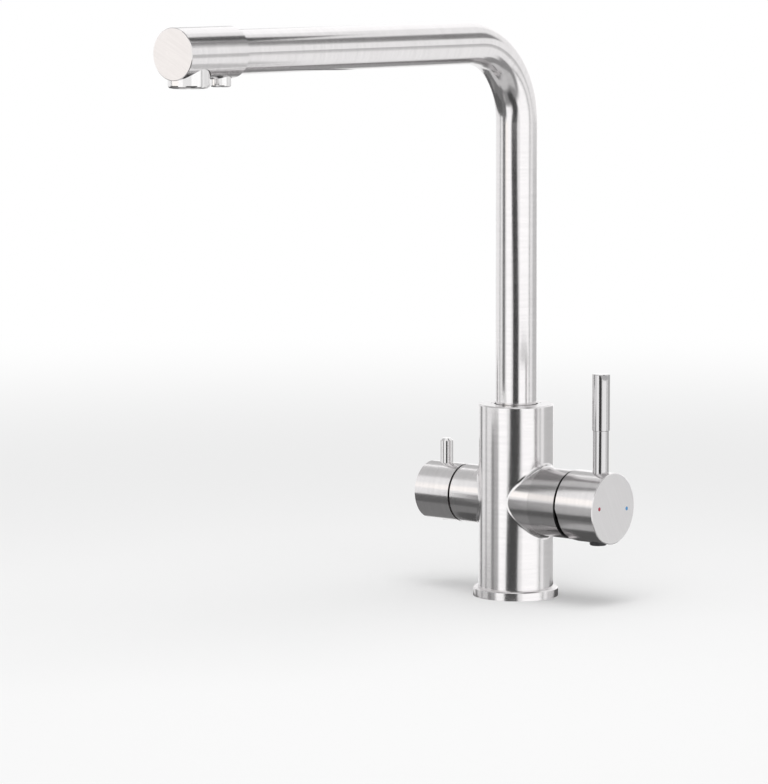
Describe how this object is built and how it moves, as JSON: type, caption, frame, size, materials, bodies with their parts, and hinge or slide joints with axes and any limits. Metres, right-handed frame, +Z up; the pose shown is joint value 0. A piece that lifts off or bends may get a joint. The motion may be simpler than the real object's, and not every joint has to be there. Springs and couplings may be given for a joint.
{
  "type": "three way filtered water tap",
  "caption": "Tall swivelling L-spout tap with a lever mixer on one side, a quarter-turn filtered-water valve on the other and separate outlets in the spout head.",
  "frame": {"origin": "centre of the base ring's underside, on the top of the deck, on the upright axis of the spout", "axes": "+Z up, -Y along the spout towards its outlets, +X towards the hot and cold mixer, -X towards the filter valve"},
  "size_m": [0.1548, 0.372, 0.4547],
  "materials": {
    "brushed_steel": "satin brushed stainless steel",
    "polished_steel": "polished stainless steel",
    "brass": "machined brass",
    "rubber": "black sealing rubber",
    "dark_plastic": "dark acetal",
    "pale_plastic": "white moulded plastic",
    "ceramic": "lapped white ceramic",
    "zinc_steel": "zinc plated steel",
    "red_enamel": "red enamel dot",
    "blue_enamel": "blue enamel dot"
  },
  "bodies": {
    "root": {"base_ring": "brushed_steel", "base_seal": "rubber", "body": "brushed_steel", "threaded_shank": "brass", "deck_gasket": "rubber", "clamp_washer": "zinc_steel", "mounting_nut": "brass", "glide_ring": "dark_plastic", "rim_ring": "brushed_steel", "spout_screw": "zinc_steel", "pipe_seal": "rubber", "cartridge_base": "pale_plastic", "cartridge_seals": "rubber", "fixed_disc": "ceramic", "cartridge_shell": "pale_plastic", "cartridge_nut": "brass", "trim_dome": "dark_plastic", "valve_seal": "rubber", "valve_fixed_disc": "ceramic", "valve_bonnet": "brass", "valve_cover_ring": "polished_steel"},
    "spout": {"spout_tube": "brushed_steel", "spout_insert": "brass", "spout_o_rings": "rubber", "filter_pipe": "pale_plastic", "head_shell": "brushed_steel", "head_manifold": "brass", "aerator_housing": "polished_steel", "aerator_washer": "rubber", "aerator_insert": "dark_plastic", "aerator_mesh": "pale_plastic", "filter_nozzle": "polished_steel", "nozzle_insert": "pale_plastic"},
    "mixer_collar": {"cartridge_collar": "pale_plastic", "pivot_pin": "zinc_steel"},
    "mixer_disc": {"moving_disc": "ceramic", "disc_carrier": "dark_plastic"},
    "mixer_lever": {"cartridge_stem": "brass", "mixer_knob": "brushed_steel", "lever_rod": "polished_steel", "lever_grip": "polished_steel", "mixer_grub_screw": "zinc_steel", "screw_plug": "dark_plastic", "hot_dot": "red_enamel", "cold_dot": "blue_enamel"},
    "filter_handle": {"valve_turning_disc": "ceramic", "valve_spindle": "brass", "spindle_o_ring": "rubber", "filter_knob": "brushed_steel", "filter_pin": "polished_steel", "filter_grub_screw": "zinc_steel", "filter_screw_plug": "dark_plastic"}
  },
  "joints": [
    {"name": "spout_swivel", "type": "hinge", "parent": "root", "child": "spout", "pos_m": [0, 0, 0.11], "axis": [0, 0, 1], "continuous": true},
    {"name": "mixer_temperature", "type": "hinge", "parent": "root", "child": "mixer_collar", "pos_m": [0.04, 0, 0.0665], "axis": [1, 0, 0], "range_deg": [-45, 45]},
    {"name": "mixer_flow", "type": "hinge", "parent": "mixer_collar", "child": "mixer_lever", "pos_m": [0.03595, 0, 0.0665], "axis": [0, 1, 0], "range_deg": [0, 20]},
    {"name": "disc_slide", "type": "slide", "parent": "mixer_collar", "child": "mixer_disc", "axis": [0, 0, 1], "range_m": [0, 0.0036]},
    {"name": "filter_turn", "type": "hinge", "parent": "root", "child": "filter_handle", "pos_m": [-0.04, 0, 0.0665], "axis": [1, 0, 0], "range_deg": [0, 90]}
  ],
  "couplings": [
    {"joint": "disc_slide", "follows": "mixer_flow", "m_per_rad": 0.0097}
  ]
}
